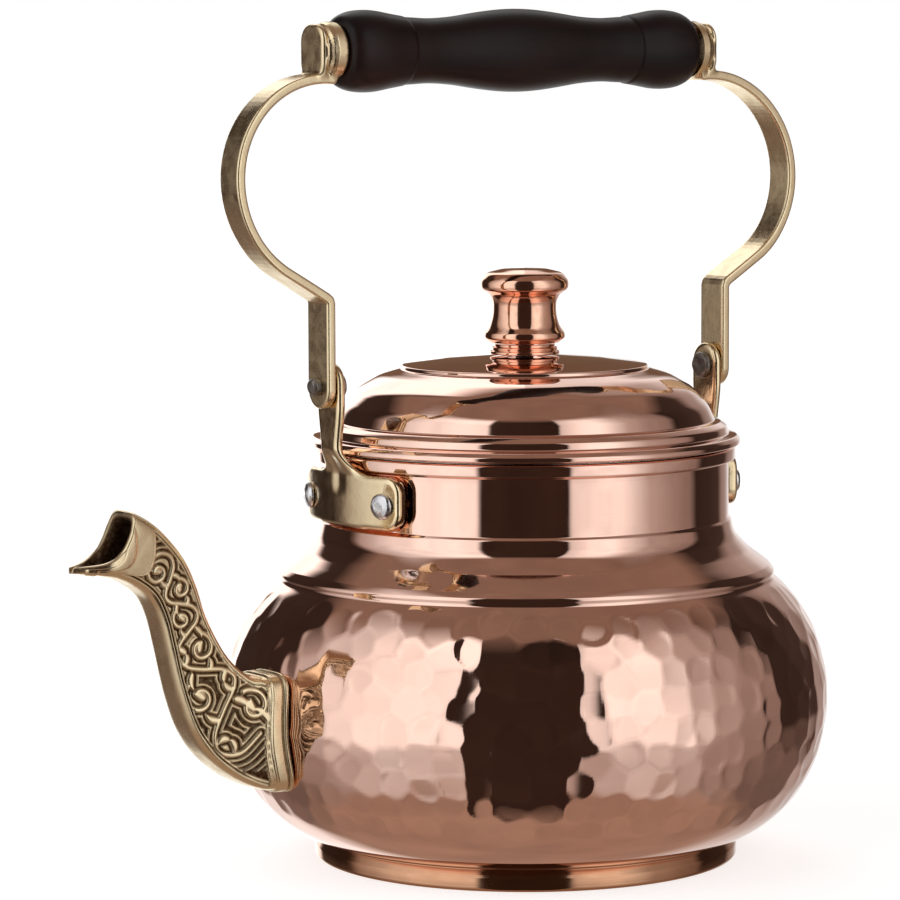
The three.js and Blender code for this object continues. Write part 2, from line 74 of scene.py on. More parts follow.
body_high = node_box("body_shell")[1]
pan_high = node_box("base_pan")[1]
lid_low, lid_high = node_box("lid_cover")
flange_low, flange_high = node_box("lid_flange")
knob_low, knob_high = node_box("knob")
collar_low, collar_high = node_box("knob_collar")
lug_low, lug_high = node_box("lug_rear")
arm_low = node_box("bail_arm_rear")[0]
grip_low, grip_high = node_box("grip")

BASE_R = pan_high[0]
BASE_TOP = pan_high[2]
NECK_TOP = body_high[2]
HEM_R = 57.3
NECK_R = 55.5
NECK_BOTTOM = 93.2
SKIRT_R = 55.0
SHEET = 1.0

BELLY_RING, BELLY_Z = 50.0, 44.0          # ring and height that the belly's ellipse is centred on
BELLY_A, BELLY_B = 32.6, 39.0
BELLY_START, BELLY_END = -69.8, 55.0      # degrees round that ellipse

LID_R = lid_high[0]
LID_LOW = lid_low[2]
LID_TOP = lid_high[2]

PIVOT_Z = joint_height("bail_swing")
GRIP_Z = joint_height("grip_turn")
GRIP_X = (grip_low[0] + grip_high[0]) / 2      # the bail leans this far towards the spout
GRIP_HALF = (grip_high[0] - grip_low[0]) / 2

PAD_IN, PAD_OUT = NECK_R + 0.3, NECK_R + 1.9
LUG_IN, LUG_OUT = PAD_OUT + 0.3, PAD_OUT + 2.8
RIVET_Z, RIVET_ANGLE = 100.6, 17.0
TANG_IN, TANG_OUT = 60.8, 63.3
TANG_TOP = lug_high[2]
ARM_X, ARM_T = 64.9, 2.6
ARM_BOTTOM = arm_low[2]
ARM_KINK = 154.6
BOW_X, BOW_Z, BOW_R = 63.0, 185.0, 27.2
BOSS_IN, BOSS_OUT = GRIP_HALF + 0.3, GRIP_HALF + 7.6     # from the grip's middle


# ---------------- mesh helpers

def smooth_piece(name, points, faces, materials, body, node, normals=None):
    """A smooth-shaded mesh from points in millimetres, riding on a body and standing for a CAD node."""
    mesh = bpy.data.meshes.new(name)
    mesh.from_pydata((points * MM).tolist(), [], faces if isinstance(faces, list) else faces.tolist())
    mesh.validate()
    mesh.update()
    mesh.polygons.foreach_set("use_smooth", [True] * len(mesh.polygons))
    if normals is not None:
        mesh.normals_split_custom_set_from_vertices(normals.tolist())
    obj = bpy.data.objects.new(name, mesh)
    bpy.context.scene.collection.objects.link(obj)
    for material in materials:
        mesh.materials.append(material)
    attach(obj, body)
    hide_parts(node)
    return obj


def unit(vectors):
    """The same directions with length 1."""
    return vectors / np.maximum(np.linalg.norm(vectors, axis=-1, keepdims=True), 1e-9)


def distance_run(points):
    """Distance along an open line from its first point to each of its points."""
    return np.concatenate([[0], np.cumsum(np.linalg.norm(np.diff(points, axis=0), axis=-1))])


def rounded(corners, step=12.0):
    """A profile through (r, z, fillet) corners, each fillet drawn as an arc of short chords."""
    points = []
    for i, (r, z, fillet) in enumerate(corners):
        here = np.array([r, z], float)
        if fillet <= 0 or i in (0, len(corners) - 1):
            points.append(here)
            continue
        back = np.array(corners[i - 1][:2], float) - here
        ahead = np.array(corners[i + 1][:2], float) - here
        back_length, ahead_length = np.linalg.norm(back), np.linalg.norm(ahead)
        back, ahead = back / back_length, ahead / ahead_length
        half = math.acos(np.clip(back @ ahead, -1, 1)) / 2
        if half > math.radians(89):
            points.append(here)
            continue
        reach = min(fillet / math.tan(half), back_length * 0.49, ahead_length * 0.49)
        radius = reach * math.tan(half)
        middle = back + ahead
        centre = here + middle / np.linalg.norm(middle) * radius / math.sin(half)
        start, end = here + back * reach - centre, here + ahead * reach - centre
        a0, a1 = math.atan2(start[1], start[0]), math.atan2(end[1], end[0])
        sweep = (a1 - a0 + math.pi) % TAU - math.pi
        count = max(2, int(abs(math.degrees(sweep)) / step) + 1)
        for t in np.linspace(0, 1, count + 1):
            a = a0 + sweep * t
            points.append(centre + radius * np.array([math.cos(a), math.sin(a)]))
    return np.array(points)


def refined(profile, longest):
    """The profile with extra points, so that no stretch is longer than the length given."""
    out = [profile[0]]
    for a, b in zip(profile[:-1], profile[1:]):
        count = max(1, int(math.ceil(np.linalg.norm(b - a) / longest)))
        out.extend(a + (b - a) * t for t in np.linspace(0, 1, count + 1)[1:])
    return np.array(out)


def grid_faces(rows, columns, close_rows=False):
    """Quads over a grid of points whose columns wrap round."""
    last = rows if close_rows else rows - 1
    i = np.arange(last)[:, None]
    k = np.arange(columns)[None, :]
    a = i * columns + k
    b = i * columns + (k + 1) % columns
    c = (i + 1) % rows * columns + (k + 1) % columns
    d = (i + 1) % rows * columns + k
    return np.stack([a, b, c, d], -1).reshape(-1, 4)


def revolve(profile, columns, closed=True):
    """Points and faces of a profile of (r, z) turned about Z; a profile end on the axis becomes a fan."""
    turn = np.arange(columns) / columns * TAU
    caps = [end for end in (0, -1) if profile[end][0] < 1e-6 and not closed]
    body = profile[(1 if 0 in caps else 0):(len(profile) - 1 if -1 in caps else len(profile))]
    r, z = body[:, 0:1], body[:, 1:2]
    points = np.stack([r * np.cos(turn), r * np.sin(turn), z + 0 * turn], -1).reshape(-1, 3)
    faces = grid_faces(len(body), columns, closed).tolist()
    points = points.tolist()
    ring = np.arange(columns)
    for end in caps:
        points.append([0, 0, profile[end][1]])
        tip = len(points) - 1
        base = 0 if end == 0 else (len(body) - 1) * columns
        a, b = base + ring, base + (ring + 1) % columns
        fan = zip(b, a) if end == 0 else zip(a, b)
        faces.extend([int(p), int(q), tip] for p, q in fan)
    return np.array(points), faces


def along_x(points):
    """Points turned about Z, laid down so that their axis runs along +X."""
    return np.stack([points[:, 2], points[:, 1], -points[:, 0]], -1)


def half_turn(points):
    """The same points turned half round the kettle's axis."""
    return points * np.array([-1, -1, 1])


# ---------------- fields: negative inside a shape

def blend_max(a, b, soft):
    """The larger of two fields, with the edge between them rounded."""
    near = np.maximum(soft - np.abs(a - b), 0) / soft
    return np.maximum(a, b) + near * near * soft / 4


def blend_min(a, b, soft):
    return -blend_max(-a, -b, soft)


def box_2d(u, v, half_u, half_v, corner):
    """Distance to a rectangle with round corners, centred on the origin."""
    du = np.abs(u) - half_u + corner
    dv = np.abs(v) - half_v + corner
    outside = np.hypot(np.maximum(du, 0), np.maximum(dv, 0))
    return outside + np.minimum(np.maximum(du, dv), 0) - corner


def to_stretch(u, v, a, b):
    """Distance from points (u, v) to the stretch from a to b, and the share of it that lies before."""
    du, dv = b[0] - a[0], b[1] - a[1]
    t = np.clip(((u - a[0]) * du + (v - a[1]) * dv) / max(du * du + dv * dv, 1e-9), 0, 1)
    return np.hypot(u - a[0] - t * du, v - a[1] - t * dv), t


def path_distance(u, v, path):
    """Distance from points (u, v) to an open line through the path's points."""
    best = np.full(u.shape, 1e9)
    for a, b in zip(path[:-1], path[1:]):
        best = np.minimum(best, to_stretch(u, v, a, b)[0])
    return best


def step_up(x, low, high):
    """0 below low, 1 above high, and a smooth climb between."""
    t = np.clip((x - low) / (high - low), 0, 1)
    return t * t * (3 - 2 * t)


def band(x, centre, half, soft):
    """1 within half of the centre, 0 beyond, with a smooth edge."""
    return 1 - step_up(np.abs(x - centre), half - soft / 2, half + soft / 2)


def smooth_line(points, count):
    """A Catmull-Rom curve through the points, sampled evenly in its parameter."""
    padded = np.concatenate([[2 * points[0] - points[1]], points, [2 * points[-1] - points[-2]]])
    spots = np.linspace(0, len(points) - 1, count)
    i = np.minimum(spots.astype(int), len(points) - 2)
    t = (spots - i)[:, None]
    a, b, c, d = (padded[i + k] for k in range(4))
    bend = 2 * a - 5 * b + 4 * c - d
    twist = 3 * b - a - 3 * c + d
    return 0.5 * (2 * b + (c - a) * t + bend * t ** 2 + twist * t ** 3)


def gradient(field, points):
    """How fast a field grows along each axis."""
    reach = 0.02
    shifts = np.eye(3) * reach
    return np.stack([(field(points + shift) - field(points - shift)) / (2 * reach) for shift in shifts], -1)


def skin(field, low, high, step):
    """Points, quads and normals of the surface where a field is 0, found on a grid and pulled onto it."""
    axes = [np.arange(a, b + step, step) for a, b in zip(low, high)]
    grid = np.stack(np.meshgrid(*axes, indexing="ij"), -1)
    value = field(grid.reshape(-1, 3)).reshape(grid.shape[:3])
    inside = value < 0
    size = np.array(inside.shape)
    total = np.zeros(size - 1, int)
    for corner in np.ndindex(2, 2, 2):
        total += inside[tuple(slice(c, c + n - 1) for c, n in zip(corner, size))]
    active = (total > 0) & (total < 8)
    number = np.full(active.shape, -1)
    number[active] = np.arange(active.sum())
    cells = np.argwhere(active)
    summed, count = np.zeros((len(cells), 3)), np.zeros((len(cells), 1))
    for axis in range(3):
        for other in np.ndindex(2, 2):
            start = cells.copy()
            start[:, [a for a in range(3) if a != axis]] += other
            end = start.copy()
            end[:, axis] += 1
            v0, v1 = value[tuple(start.T)], value[tuple(end.T)]
            crossed = (v0 < 0) != (v1 < 0)
            t = np.where(crossed, v0 / np.where(crossed, v0 - v1, 1), 0)
            spot = start.astype(float)
            spot[:, axis] += t
            summed += np.where(crossed[:, None], spot, 0)
            count += crossed[:, None]
    points = np.array([a[0] for a in axes]) + summed / count * step
    for _ in range(3):
        slope = gradient(field, points)
        length = np.maximum((slope ** 2).sum(-1, keepdims=True), 1e-6)
        points = points - np.clip(field(points)[:, None] * slope / length, -step / 2, step / 2)
    faces = []
    for axis in range(3):
        u, v = (axis + 1) % 3, (axis + 2) % 3
        near, far = [slice(None)] * 3, [slice(None)] * 3
        near[axis], far[axis] = slice(0, -1), slice(1, None)
        change = inside[tuple(near)] != inside[tuple(far)]
        spots = np.argwhere(change)
        spots = spots[(spots[:, u] > 0) & (spots[:, v] > 0)]
        spots = spots[(spots[:, u] < size[u] - 1) & (spots[:, v] < size[v] - 1)]
        quad = []
        for du, dv in ((1, 1), (0, 1), (0, 0), (1, 0)):
            cell = spots.copy()
            cell[:, u] -= du
            cell[:, v] -= dv
            quad.append(number[tuple(cell.T)])
        quad = np.stack(quad, -1)
        flip = ~inside[tuple(spots.T)]
        quad[flip] = quad[flip][:, ::-1]
        faces.append(quad)
    return points, np.concatenate(faces), unit(gradient(field, points))


# ---------------- materials

def put(node, key, value):
    """Link a socket to a node's input, or write a plain value into it."""
    if isinstance(value, bpy.types.NodeSocket):
        node.id_data.links.new(value, node.inputs[key])
    else:
        node.inputs[key].default_value = value


def new_node(tree, kind, **inputs):
    node = tree.nodes.new("ShaderNode" + kind)
    for key, value in inputs.items():
        put(node, key, value)
    return node


def new_material(name, metallic=1.0):
    material = bpy.data.materials.new(name)
    material.use_nodes = True
    tree = material.node_tree
    tree.nodes.clear()
    shader = new_node(tree, "BsdfPrincipled", Metallic=metallic)
    new_node(tree, "OutputMaterial", Surface=shader.outputs[0])
    return material, tree, shader


def coordinates(tree, scale=(1, 1, 1)):
    """Object coordinates, stretched by a scale for each axis."""
    source = new_node(tree, "TexCoord").outputs["Object"]
    return new_node(tree, "Mapping", Scale=scale, Vector=source).outputs[0]


def noise(tree, scale, stretch=(1, 1, 1), detail=4.0, roughness=0.55):
    """A noise texture in object space; scale is in features for each metre."""
    node = new_node(tree, "TexNoise", Scale=scale, Detail=detail, Roughness=roughness,
                    Vector=coordinates(tree, stretch))
    return node.outputs[0]


def ramp(tree, source, stops):
    """A colour ramp from (position, colour) stops."""
    node = new_node(tree, "ValToRGB", Fac=source)
    elements = node.color_ramp.elements
    while len(elements) < len(stops):
        elements.new(0.5)
    for element, (position, colour) in zip(elements, stops):
        element.position = position
        element.color = (*colour, 1)
    return node.outputs[0]


def spread(tree, source, low, high, from_low=0.0, from_high=1.0):
    """A value mapped from one range to another."""
    node = new_node(tree, "MapRange", Value=source)
    for key, value in zip(("From Min", "From Max", "To Min", "To Max"), (from_low, from_high, low, high)):
        put(node, key, value)
    return node.outputs[0]


def mixed(tree, factor, first, second):
    """One colour over another by a factor; each colour is a socket or a triple."""
    node = new_node(tree, "Mix")
    node.data_type = "RGBA"
    for key, colour in ((6, first), (7, second)):
        put(node, key, (*colour, 1) if isinstance(colour, tuple) else colour)
    put(node, 0, factor)
    return node.outputs[2]


def combined(tree, operation, first, second=0.0):
    """A sum, product or other operation on sockets and plain values."""
    node = new_node(tree, "Math")
    node.operation = operation
    put(node, 0, first)
    put(node, 1, second)
    return node.outputs[0]


def bump(tree, shader, source, depth):
    """Bump of a depth in metres, added to any that the shader already has."""
    node = new_node(tree, "Bump", Distance=depth, Height=source)
    if shader.inputs["Normal"].is_linked:
        put(node, "Normal", shader.inputs["Normal"].links[0].from_socket)
    put(shader, "Normal", node.outputs[0])


def height_mask(tree, low, high):
    """0 below one height and 1 above another, in metres."""
    parts = new_node(tree, "SeparateXYZ", Vector=coordinates(tree))
    return spread(tree, parts.outputs[2], 0.0, 1.0, low, high)


def polished_metal(name, light, dark, roughness, spin_depth=0.0, spin_from=None):
    """Bright sheet metal: cloudy tint, faint hand-polish haze, and lathe lines where it was spun."""
    material, tree, shader = new_material(name)
    clouds = noise(tree, 30, detail=5)
    put(shader, "Base Color", ramp(tree, clouds, [(0.3, dark), (0.7, light)]))
    haze = noise(tree, 140, detail=6, roughness=0.65)
    haze = spread(tree, haze, roughness * 0.6, roughness * 1.6, 0.3, 0.75)
    put(shader, "Roughness", haze)
    if spin_depth:
        lines = noise(tree, 900, stretch=(0.004, 0.004, 1.0), detail=3)
        if spin_from is not None:
            lines = combined(tree, "MULTIPLY", lines, height_mask(tree, spin_from, spin_from + 0.004))
        bump(tree, shader, lines, spin_depth)
    return material


def cast_brass(name, smooth, rough):
    """Cast brass: polished on the high parts, sand-grained and dark with patina in the recesses."""
    material, tree, shader = new_material(name)
    recess = new_node(tree, "Attribute")
    recess.attribute_name = "recess"
    depth = recess.outputs["Fac"]
    clouds = noise(tree, 60, detail=6, roughness=0.6)
    bright = ramp(tree, clouds, [(0.25, (0.83, 0.65, 0.40)), (0.75, (0.93, 0.78, 0.52))])
    grime = noise(tree, 700, detail=4, roughness=0.7)
    worn = combined(tree, "MULTIPLY", depth, spread(tree, grime, 0.75, 1.1, 0.3, 0.7))
    put(shader, "Base Color", mixed(tree, worn, bright, (0.10, 0.042, 0.015)))
    grain = noise(tree, 1600, detail=3, roughness=0.6)
    haze = spread(tree, noise(tree, 300, detail=5), smooth, rough, 0.3, 0.7)
    haze = combined(tree, "ADD", haze, combined(tree, "MULTIPLY", depth, 0.3))
    put(shader, "Roughness", haze)
    bump(tree, shader, noise(tree, 220, detail=3), 0.00006)
    bump(tree, shader, combined(tree, "MULTIPLY", grain, combined(tree, "ADD", depth, 0.12)), 0.00012)
    return material


def dull_metal(name, light, dark, roughness, dents):
    """Hand-set rivet metal: uneven tint and small dents."""
    material, tree, shader = new_material(name)
    clouds = noise(tree, 500, detail=5, roughness=0.65)
    put(shader, "Base Color", ramp(tree, clouds, [(0.3, dark), (0.7, light)]))
    haze = noise(tree, 900, detail=4)
    put(shader, "Roughness", spread(tree, haze, roughness * 0.7, roughness * 1.4, 0.3, 0.7))
    bump(tree, shader, noise(tree, 450, detail=3), dents)
    return material


def lacquered_wood():
    """Turned wood under near-black lacquer, a little red-brown where the coat is thin."""
    material, tree, shader = new_material("wood_lacquered", metallic=0.0)
    grain = noise(tree, 260, stretch=(0.06, 1.0, 1.0), detail=6, roughness=0.6)
    patches = noise(tree, 28, stretch=(0.5, 1.0, 1.0), detail=3)
    streak = ramp(tree, grain, [(0.35, (0.006, 0.0036, 0.0036)), (0.75, (0.013, 0.006, 0.005))])
    thin = spread(tree, patches, 0.0, 0.45, 0.5, 0.8)
    put(shader, "Base Color", mixed(tree, thin, streak, (0.032, 0.010, 0.008)))
    put(shader, "Roughness", spread(tree, grain, 0.30, 0.42, 0.3, 0.7))
    put(shader, "Specular IOR Level", 0.22)
    bump(tree, shader, grain, 0.00005)
    return material


COPPER = polished_metal("copper_polished", (0.955, 0.65, 0.54), (0.94, 0.61, 0.50), 0.045,
                        spin_depth=0.000012, spin_from=NECK_BOTTOM * MM)
LID_COPPER = polished_metal("copper_spun", (0.955, 0.65, 0.54), (0.94, 0.61, 0.50), 0.05, spin_depth=0.00001)
RED_COPPER = polished_metal("copper_turned", (0.95, 0.58, 0.43), (0.92, 0.53, 0.37), 0.08, spin_depth=0.00004)
PAD_COPPER = polished_metal("copper_pad", (0.80, 0.30, 0.13), (0.62, 0.20, 0.08), 0.3)
FOOT_COPPER = polished_metal("copper_foot", (0.70, 0.40, 0.25), (0.60, 0.31, 0.18), 0.09, spin_depth=0.00003)
TIN = polished_metal("tin_lining", (0.74, 0.72, 0.69), (0.60, 0.58, 0.55), 0.28, spin_depth=0.00003)
BRASS = cast_brass("brass_cast", 0.19, 0.34)
BRIGHT_BRASS = cast_brass("brass_polished", 0.11, 0.24)
ALUMINIUM = dull_metal("rivet_aluminium", (0.86, 0.86, 0.88), (0.62, 0.62, 0.65), 0.24, 0.00012)
STEEL = dull_metal("rivet_steel", (0.36, 0.33, 0.30), (0.17, 0.15, 0.135), 0.42, 0.00012)
WOOD = lacquered_wood()


# ---------------- camera, first, because it frames the work

CAMERA_AZIMUTH = math.radians(-34.66)
CAMERA_DISTANCE = 1.1522
CAMERA_HEIGHT = 0.2237
CAMERA_PITCH = math.radians(5.593)
CAMERA_YAW = math.radians(1.014)
CAMERA_ROLL = math.radians(-0.20)
LENS = 169.86


def add_camera():
    camera = bpy.data.objects.new("camera", bpy.data.cameras.new("camera"))
    bpy.context.scene.collection.objects.link(camera)
    out = Vector((math.sin(CAMERA_AZIMUTH), -math.cos(CAMERA_AZIMUTH), 0))
    camera.location = out * CAMERA_DISTANCE + Vector((0, 0, CAMERA_HEIGHT))
    aim = -out
    aim.rotate(Matrix.Rotation(CAMERA_YAW, 3, "Z"))
    aim = Vector((aim.x * math.cos(CAMERA_PITCH), aim.y * math.cos(CAMERA_PITCH), -math.sin(CAMERA_PITCH)))
    camera.rotation_mode = "QUATERNION"
    camera.rotation_quaternion = aim.to_track_quat("-Z", "Y") @ Quaternion((0, 0, 1), CAMERA_ROLL)
    camera.data.sensor_width = 36
    camera.data.lens = LENS
    camera.data.clip_start = 0.05
    camera.data.clip_end = 50
    bpy.context.scene.camera = camera


add_camera()


# ---------------- body and base

HAMMER_LOW, HAMMER_HIGH = 19.5, 71.3       # heights of the lowest and highest row of blows
ROW_GAP = 6.9
LOOSE_ROWS = 2                             # lowest rows, whose smaller blows stand apart
# Spacing along a row, radius, depth and tilt of the blows.
CLOSE_BLOWS = (7.9, 5.0, 0.21, 0.024)
LOOSE_BLOWS = (8.374, 3.7, 0.13, 0.010)


def belly_profile(steps):
    """Points along the belly's ellipse, and their outward normals in the (r, z) plane."""
    angle = np.radians(np.linspace(BELLY_START, BELLY_END, steps))
    points = np.stack([BELLY_RING + BELLY_A * np.cos(angle), BELLY_Z + BELLY_B * np.sin(angle)], -1)
    normals = np.stack([np.cos(angle) / BELLY_A, np.sin(angle) / BELLY_B], -1)
    return points, unit(normals)


def hammer_marks(profile, columns):
    """How far the hammer pushed each belly point inwards: overlapping tilted dishes in rows."""
    depth = np.zeros((len(profile), columns))
    run = distance_run(profile)
    first, last = np.interp([HAMMER_LOW, HAMMER_HIGH], profile[:, 1], run)
    rows = int(round((last - first) / ROW_GAP)) + 1
    for row in range(rows):
        gap, size, push, lean = LOOSE_BLOWS if row < LOOSE_ROWS else CLOSE_BLOWS
        level = first + (last - first) * row / (rows - 1)
        girth = TAU * np.interp(level, run, profile[:, 0])
        blows = int(round(girth / gap))
        start = random.uniform(0, 1)
        for blow in range(blows):
            around = (start + blow + random.normal(0, 0.11)) / blows * TAU
            height = level + random.normal(0, 0.8)
            radius = size * random.uniform(0.9, 1.16)
            deep = push * random.uniform(0.8, 1.25)
            tilt = random.normal(0, lean, 2)
            near = np.nonzero(np.abs(run - height) < radius)[0]
            reach = radius / profile[near[0]:near[-1] + 1, 0].min()
            centre = around / TAU * columns
            span = int(reach / TAU * columns) + 2
            cols = np.arange(int(centre) - span, int(centre) + span + 1)
            up = (run[near] - height)[:, None]
            side = (cols[None, :] / columns * TAU - around) * profile[near, 0][:, None]
            away = (up ** 2 + side ** 2) / radius ** 2
            dish = deep * (1 - away) + (tilt[0] * up + tilt[1] * side) * np.clip(2.2 - 2 * away, 0, 1)
            block = np.ix_(near, cols % columns)
            depth[block] = np.maximum(depth[block], dish)
    return depth


def line_with_tin(obj, first_face):
    """Give the faces from a number on the piece's second material, the tin lining."""
    lining = np.zeros(len(obj.data.polygons), np.int32)
    lining[first_face:] = 1
    obj.data.polygons.foreach_set("material_index", lining)


def body_mesh():
    """Hammered belly, shoulder and neck outside, and a plain tinned inside."""
    columns = 600
    belly, belly_out = belly_profile(92)
    depth = hammer_marks(belly, columns)
    skirt = rounded([(SKIRT_R, 1.4, 0), (SKIRT_R, BASE_TOP + 0.4, 0.4), (59.6, BASE_TOP + 0.4, 0)])
    shoulder = rounded([
        (belly[-1, 0], belly[-1, 1], 0), (67.6, 76.9, 1.6), (68.0, 78.5, 1.2), (66.5, 80.3, 1.6),
        (60.8, 84.6, 9), (57.0, 88.6, 6), (56.2, 92.4, 1.2), (NECK_R, NECK_BOTTOM, 0.5),
        (NECK_R, 108.6, 0.3), (HEM_R, 108.9, 0.6), (HEM_R, NECK_TOP, 0.9),
        (NECK_R - SHEET, NECK_TOP, 0.5), (NECK_R - SHEET, NECK_BOTTOM, 6), (58.2, 84.8, 8),
        (65.4, 79.4, 2), (66.7, 76.6, 3), (belly[-1, 0] - 0.6, belly[-1, 1] - 0.9, 0),
    ])
    shoulder = refined(shoulder, 4.0)
    inside, inside_out = belly_profile(14)
    inside = (inside - inside_out * SHEET)[::-1]
    close = np.array([[SKIRT_R - SHEET, BASE_TOP + 1.4], [SKIRT_R - SHEET, 1.4]])
    profile = np.concatenate([skirt, belly, shoulder[1:-1], inside, close])
    points, faces = revolve(profile, columns)
    grid = points.reshape(len(profile), columns, 3)
    turn = np.arange(columns) / columns * TAU
    rows = slice(len(skirt), len(skirt) + len(belly))
    grid[rows, :, 0] -= depth * belly_out[:, 0:1] * np.cos(turn)
    grid[rows, :, 1] -= depth * belly_out[:, 0:1] * np.sin(turn)
    grid[rows, :, 2] -= depth * belly_out[:, 1:2]
    obj = smooth_piece("copper_body", points, faces, [COPPER, TIN], "kettle", "body_shell")
    inner_row = len(skirt) + len(belly) + int(np.argmax(shoulder[1:, 0] < NECK_R - SHEET + 0.05))
    line_with_tin(obj, inner_row * columns)


def base_mesh():
    profile = refined(rounded([
        (0, 0, 0), (BASE_R, 0, 1.2), (BASE_R, 3.6, 0.8), (BASE_R - 1.1, 6.0, 0.3),
        (BASE_R - 0.5, 6.3, 0.25), (BASE_R - 0.5, BASE_TOP, 0.3), (SKIRT_R + 0.35, BASE_TOP, 0.2),
        (SKIRT_R + 0.35, 1.0, 0.3), (0, 1.0, 0),
    ]), 6.0)
    points, faces = revolve(profile, 256, closed=False)
    smooth_piece("copper_base", points, faces, [FOOT_COPPER], "kettle", "base_pan")


# ---------------- lid and knob

def lid_mesh():
    profile = refined(rounded([
        (2.8, LID_TOP, 0), (10, LID_TOP - 0.25, 4), (22, LID_TOP - 1.15, 10),
        (33.4, LID_TOP - 2.6, 0.5), (33.7, LID_TOP - 3.6, 0.6), (39.6, 131.6, 12),
        (45.6, 128.2, 12), (49.9, 123.4, 9), (51.6, 119.4, 0.6), (53.2, 119.0, 1.2),
        (55.0, 117.8, 1.2), (55.3, 115.9, 0.7), (LID_R - 0.9, 115.3, 1.0), (LID_R, 114.2, 0.8),
        (LID_R, LID_LOW, 0.5), (54.3, LID_LOW, 0.4), (54.2, 116.4, 0.8), (52.9, 117.7, 0.8),
        (50.4, 118.3, 0.6), (48.6, 123.2, 8), (44.4, 127.4, 10), (38.6, 130.5, 10),
        (32.6, 132.4, 0.6), (22, LID_TOP - 2.3, 8), (2.8, LID_TOP - 1.3, 0),
    ], step=7), 3.0)
    columns = 320
    points, faces = revolve(profile, columns)
    obj = smooth_piece("lid_dome", points, faces, [LID_COPPER, TIN], "lid", "lid_cover")
    start = int(np.argmax((profile[:, 1] < LID_LOW + 0.01) & (profile[:, 0] < 55)))
    line_with_tin(obj, start * columns)


def flange_mesh():
    radius, bottom, top = flange_high[0], flange_low[2], 116.8
    profile = refined(rounded([
        (radius - 0.5, top, 0), (radius, top - 0.4, 0.2), (radius, bottom, 0.5),
        (radius - SHEET, bottom, 0.4), (radius - SHEET, top, 0.2), (radius - 0.5, top, 0),
    ])[:-1], 4.0)
    points, faces = revolve(profile, 256)
    smooth_piece("lid_ring", points, faces, [TIN], "lid", "lid_flange")


def knob_mesh():
    low, top = knob_low[2], knob_high[2]
    profile = refined(rounded([
        (2.8, low, 0), (9.2, low, 0.6), (11.1, low + 1.3, 0.9), (10.9, low + 2.7, 0.9),
        (9.5, low + 4.6, 5), (8.65, low + 7.6, 9), (8.6, low + 11.0, 6), (9.6, low + 13.0, 3),
        (11.9, low + 14.6, 1.5), (12.05, low + 16.8, 2.4), (10.2, low + 19.0, 3),
        (6.0, top - 0.2, 6), (0, top, 0),
    ], step=8), 1.2)
    points, faces = revolve(np.concatenate([profile, [[0, top - 8], [2.8, top - 8]]]), 128)
    smooth_piece("knob_turned", points, faces, [RED_COPPER], "lid", "knob")


def collar_mesh():
    low, high = collar_low[2], collar_high[2]
    profile = refined(rounded([
        (2.8, low, 0), (9.5, low, 0.3), (9.5, low + 0.8, 0.35), (8.8, low + 1.05, 0.15),
        (9.0, low + 1.8, 0.3), (8.2, low + 2.05, 0.15), (8.3, high, 0.2), (2.8, high, 0),
    ], step=15), 1.0)
    points, faces = revolve(profile, 128)
    smooth_piece("knob_foot", points, faces, [RED_COPPER], "lid", "knob_collar")


# ---------------- lugs, pads and rivets

def plate_outline(s, z, low, high, half, corner):
    return box_2d(s, z - (low + high) / 2, half, (high - low) / 2, corner)


def lug_field(p):
    """The front lug: a curved foot on the neck and a tongue that bends out past the lid's edge."""
    x, y, z = p.T
    s = np.arctan2(y, -x) * LUG_OUT
    upright = step_up(z, 107.5, 115.0)
    outward = np.hypot(x, y) * (1 - upright) + -x * upright
    middle = (LUG_IN + LUG_OUT) / 2 * (1 - upright) + (TANG_IN + TANG_OUT) / 2 * upright
    crease = 0.55 * np.exp(-(y / 2.2) ** 2) * band(z, 108.5, 5.0, 4.0)
    # The foot's ends are turned in, over the edges of the pad.
    turned_in = 0.75 * step_up(np.abs(s), 21.3, 21.9) * step_up(-z, -108.5, -107.0)
    plate = np.abs(outward - middle + crease + turned_in) - (LUG_OUT - LUG_IN) / 2 - turned_in
    foot = plate_outline(s, z, lug_low[2] - 0.1, 108.2, 23.4, 4.6)
    crown = TANG_TOP - 5.6
    half = 4.0 + 1.6 * step_up(z, 113, 127)
    tongue = np.where(z > crown, np.hypot(y, z - crown) - 5.6, np.maximum(np.abs(y) - half, 100 - z))
    return blend_max(plate, blend_min(foot, tongue, 9.0), 1.5)


def pad_field(p):
    x, y, z = p.T
    s = np.arctan2(y, -x) * PAD_OUT
    plate = np.abs(np.hypot(x, y) - (PAD_IN + PAD_OUT) / 2) - (PAD_OUT - PAD_IN) / 2
    outline = plate_outline(s, z, lug_low[2] - 0.8, 108.0, 20.6, 4.0)
    return blend_max(plate, outline, 0.4)


def lug_meshes():
    low = (-66, -25.5, 91)
    lug = skin(lug_field, low, (-53, 25.5, 139), 0.42)
    pad = skin(pad_field, low, (-53, 25.5, 110.5), 0.6)
    for end, place in (("front", lambda q: q), ("rear", half_turn)):
        for part, (points, faces, normals), material, slot in (
                ("lug", lug, BRIGHT_BRASS, "brass"), ("lug_pad", pad, PAD_COPPER, "raw_copper")):
            smooth_piece(f"{part}_{end}_cast", place(points), faces, [material], "kettle",
                         f"{part}_{end}", place(normals))


def dented(points, amount, size, seed):
    """Points moved a little at random over patches of a size, as a hand-set rivet head is."""
    local = np.random.default_rng(seed)
    waves = local.normal(0, 1 / size, (10, 3))
    phases = local.uniform(0, TAU, 10)
    push = np.sin(points @ waves.T + phases).mean(-1)
    return points + push[:, None] * amount * np.array([1.0, 0.35, 0.35])


